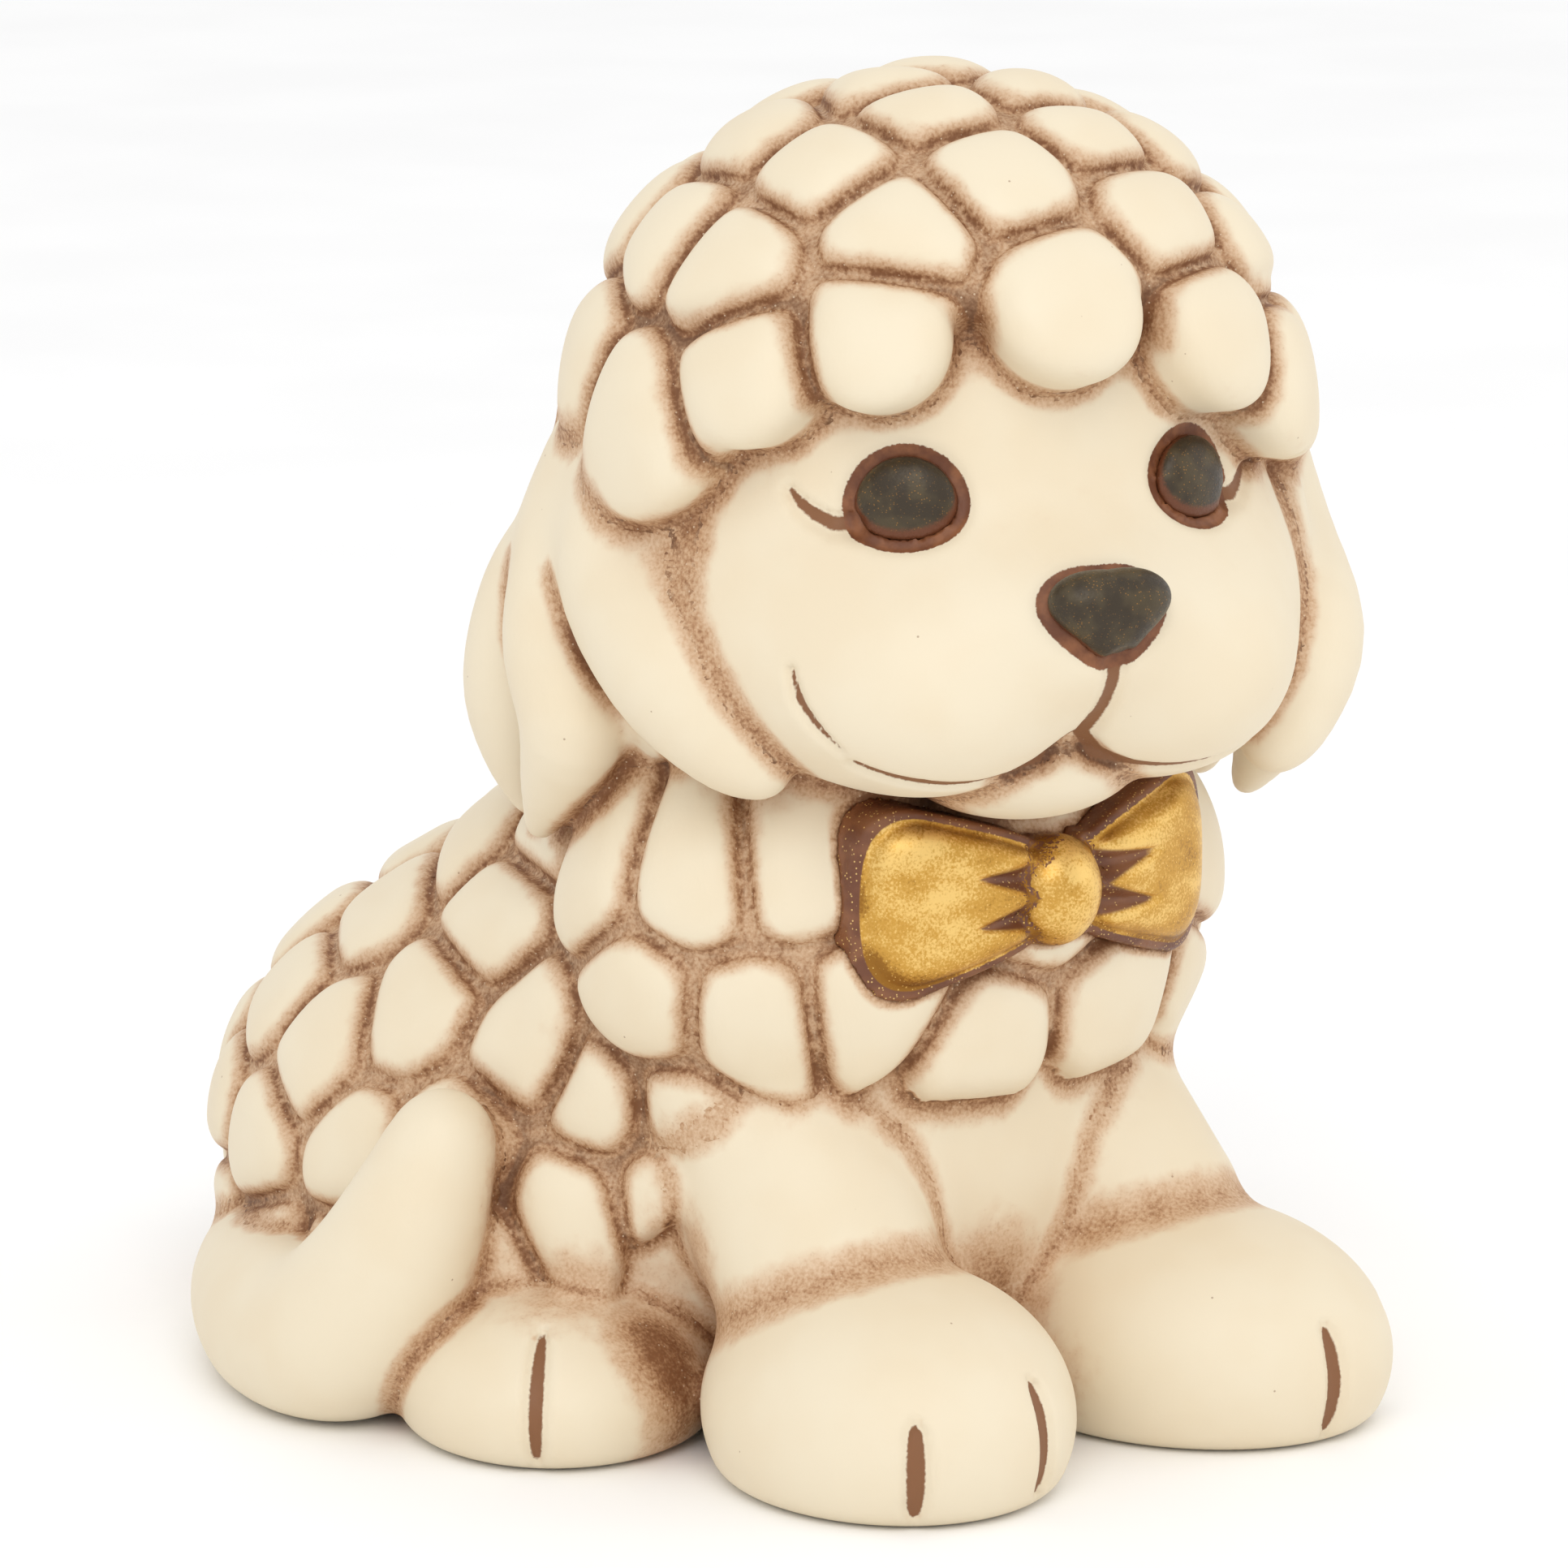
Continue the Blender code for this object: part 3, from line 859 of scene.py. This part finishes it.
def washed_bisque():
    """Cream unglazed clay. Brown wash lies in the hollows and breaks up into grains at its edge."""
    paint = Paint("washed_bisque")
    grain = paint.noise(0.22, 2.0)
    mottle = paint.noise(1.3, 3.0)
    cloud = paint.noise(7.0, 2.0)
    near = paint.span(paint.value("crease"), 0.0, 1.8, 1.0, 0.0)
    hollow = paint.math("MULTIPLY", paint.value("hollow"), paint.span(paint.value("rim"), 0.6, 2.6))
    wet = paint.math("ADD", paint.math("MULTIPLY", near, 0.68), paint.math("MULTIPLY", hollow, 0.5))
    wet = paint.math("MAXIMUM", wet, paint.value("stain"))
    wet = paint.math("ADD", wet, paint.math("MULTIPLY", paint.math("SUBTRACT", mottle, 0.5), 0.42))
    speckled = paint.math("ADD", wet, paint.math("MULTIPLY", paint.math("SUBTRACT", grain, 0.5), 0.75))
    color = paint.mix(paint.span(cloud, 0.35, 0.7), CREAM, CREAM_WARM)
    color = paint.mix(paint.span(wet, 0.12, 0.5), color, BLUSH)
    color = paint.mix(paint.span(speckled, 0.3, 0.86), color, WASH)
    color = paint.mix(paint.span(speckled, 0.64, 1.08), color, UMBER)
    slit = paint.math("ADD", paint.value("crease"), paint.math("MULTIPLY", mottle, 0.5))
    slit = paint.math("MULTIPLY", paint.span(slit, 0.46, 0.3), paint.span(wet, 0.6, 0.9))
    color = paint.mix(paint.math("MULTIPLY", slit, 0.55), color, DARK)
    ragged = paint.math("ADD", paint.value("line"), paint.math("MULTIPLY", grain, 0.16))
    color = paint.mix(paint.span(ragged, 0.18, 0.04), color, UMBER)
    rim = paint.math("ADD", paint.value("rim"), paint.math("MULTIPLY", grain, 0.2))
    color = paint.mix(paint.span(rim, 0.68, 0.6), color, mix_rim(paint, mottle))
    mica = paint.math("MULTIPLY", paint.dots(0.32, 0.22, 0.3), paint.span(speckled, 0.55, 0.8))
    color = paint.mix(paint.math("MULTIPLY", mica, 0.65), color, MICA)
    specks = paint.math("MULTIPLY", paint.dots(1.9, 0.045, 0.25), 0.55)
    color = paint.mix(specks, color, UMBER)
    rough = paint.span(speckled, 0.4, 0.9, 0.52, 0.66)
    height = paint.math("ADD", paint.math("MULTIPLY", grain, 0.35), paint.math("MULTIPLY", mottle, 0.25))
    return paint.finish(color, rough, height, 0.18, Specular_IOR_Level=0.42)


def gold_lustre():
    """Brushed-on gold with dark brown paint in its folds and round its edge, and painted shade that darkens it towards
    its edges and lightens it a little in the middle of each face.
    """
    paint = Paint("gold_lustre")
    grain = paint.noise(0.16, 2.0)
    stroke = paint.noise(2.6, 2.0, (0.6, 1, 1.2))
    worn = paint.math("ADD", paint.math("MULTIPLY", stroke, 0.55), paint.math("MULTIPLY", grain, 0.45))
    # painted shade and highlight: the gold darkens towards its edges and lightens a little away from them, while the
    # brush noise adds random tone
    tone_and_painted_shade = paint.math("ADD", worn, paint.span(paint.value("crease"), 0.4, 1.6, -0.2, 0.05))
    color = paint.mix(paint.span(tone_and_painted_shade, 0.3, 0.5), GOLD_DARK, GOLD)
    color = paint.mix(paint.span(tone_and_painted_shade, 0.5, 0.66), color, GOLD_LIGHT)
    edge = paint.math("ADD", paint.value("crease"), paint.math("MULTIPLY", grain, 0.3))
    dark = paint.math("MAXIMUM", paint.span(edge, 0.3, 0.12), paint.span(paint.value("fold"), 0.22, 0.42))
    color = paint.mix(dark, color, paint.mix(paint.span(stroke, 0.4, 0.6), RIM, BOW_EDGE))
    spark = paint.math("MULTIPLY", paint.dots(0.2, 0.3, 0.4), 0.75)
    color = paint.mix(spark, color, GOLD_LIGHT)
    metal = paint.math("SUBTRACT", 0.85, paint.math("MULTIPLY", dark, 0.85), True)
    rough = paint.span(grain, 0.3, 0.7, 0.34, 0.5)
    height = paint.math("ADD", paint.math("MULTIPLY", stroke, 0.8), paint.math("MULTIPLY", grain, 0.5))
    return paint.finish(color, rough, height, 0.2, Metallic=metal)


def bronze_lustre():
    """Dark paint with gold dust, slightly shiny."""
    paint = Paint("bronze_lustre")
    grain = paint.noise(0.14, 2.0)
    drift = paint.noise(1.8, 2.0)
    color = paint.mix(paint.span(drift, 0.4, 0.65), BRONZE, BRONZE_LIGHT)
    dust = paint.math("MULTIPLY", paint.dots(0.13, 0.36, 0.3), paint.span(drift, 0.35, 0.65, 0.2, 0.9))
    color = paint.mix(dust, color, GOLD_DARK)
    edge = paint.math("ADD", paint.value("crease"), paint.math("MULTIPLY", grain, 0.2))
    color = paint.mix(paint.span(edge, 0.35, 0.15), color, RIM)
    rough = paint.span(grain, 0.3, 0.7, 0.36, 0.5)
    return paint.finish(color, rough, grain, 0.2, Metallic=0.25)


def paper_floor():
    """Plain white floor with the faintest unevenness."""
    paint = Paint("paper_floor")
    tone = paint.noise(40.0, 2.0)
    color = paint.mix(paint.span(tone, 0.3, 0.7), srgb(252, 252, 252), srgb(255, 255, 255))
    return paint.finish(color, 0.9, tone, 0.02)


# ---------------------------------------------------------------- the scene

def piece(name, index, materials):
    verts, quads = mesh_of(index)
    paint = painted(index, verts)
    if name.startswith("bow_loop"):
        side = -1 if name.endswith("right") else 1
        q = flipped(verts.astype(F), side)
        paint["fold"] = np.maximum(bow_pleats(q), ramp(bow_outline(q), 0.0, 0.4))
    mesh = bpy.data.meshes.new(name + "_clay")
    mesh.from_pydata([], [], [])
    mesh.vertices.add(len(verts))
    mesh.vertices.foreach_set("co", ((verts + SHIFT) * MM).astype(np.float32).ravel())
    mesh.loops.add(quads.size)
    mesh.loops.foreach_set("vertex_index", quads.astype(np.int32).ravel())
    mesh.polygons.add(len(quads))
    mesh.polygons.foreach_set("loop_start", np.arange(0, quads.size, 4, dtype=np.int32))
    mesh.polygons.foreach_set("use_smooth", np.ones(len(quads), bool))
    mesh.update(calc_edges=True)
    mesh.validate()
    for key, values in paint.items():
        layer = mesh.attributes.new(key, "FLOAT", "POINT")
        layer.data.foreach_set("value", values.astype(np.float32))
    mesh.materials.append(materials[finish_of(name)])
    thing = bpy.data.objects.new(name + "_clay", mesh)
    bpy.context.scene.collection.objects.link(thing)
    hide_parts(name)
    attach(thing, "root")
    return thing


def floor():
    mesh = bpy.data.meshes.new("floor")
    half = 3.0
    mesh.from_pydata([(-half, -half, 0), (half, -half, 0), (half, half, 0), (-half, half, 0)], [],
                     [(0, 1, 2, 3)])
    mesh.materials.append(paper_floor())
    thing = bpy.data.objects.new("floor", mesh)
    bpy.context.scene.collection.objects.link(thing)


def aimed(thing, target):
    """Points a camera or a light at a place."""
    way = thing.location - target
    thing.rotation_euler = way.to_track_quat("Z", "Y").to_euler()


def body_point(x, y, z):
    from mathutils import Vector
    return Vector((np.array((x, y, z)) + SHIFT) * MM)


def camera():
    lens = bpy.data.cameras.new("camera")
    lens.lens = 205.4
    lens.sensor_width = 36.0
    lens.clip_start = 0.05
    thing = bpy.data.objects.new("camera", lens)
    thing.location = body_point(-322.5, -407.92, 151.02)
    aimed(thing, body_point(-9.95, -7.87, 38.47))
    bpy.context.scene.collection.objects.link(thing)
    bpy.context.scene.camera = thing


def lamp(name, place, size, power, color=(1, 1, 1)):
    light = bpy.data.lights.new(name, "AREA")
    light.size = size
    light.energy = power
    light.color = color
    thing = bpy.data.objects.new(name, light)
    thing.location = body_point(*place)
    aimed(thing, body_point(0, 0, 35))
    bpy.context.scene.collection.objects.link(thing)


def studio():
    world = bpy.data.worlds.new("studio")
    world.use_nodes = True
    world.node_tree.nodes["Background"].inputs["Color"].default_value = (1, 1, 1, 1)
    world.node_tree.nodes["Background"].inputs["Strength"].default_value = 0.95
    bpy.context.scene.world = world
    lamp("key", (-260, -330, 420), 0.35, 0.8)
    lamp("fill", (380, -260, 220), 0.4, 0.2)
    bpy.context.scene.view_settings.view_transform = "Standard"


def main():
    materials = {"washed_bisque": washed_bisque(), "gold_lustre": gold_lustre(),
                 "bronze_lustre": bronze_lustre()}
    for index, name in enumerate(PIECES):
        piece(name, index, materials)
    floor()
    camera()
    studio()


main()
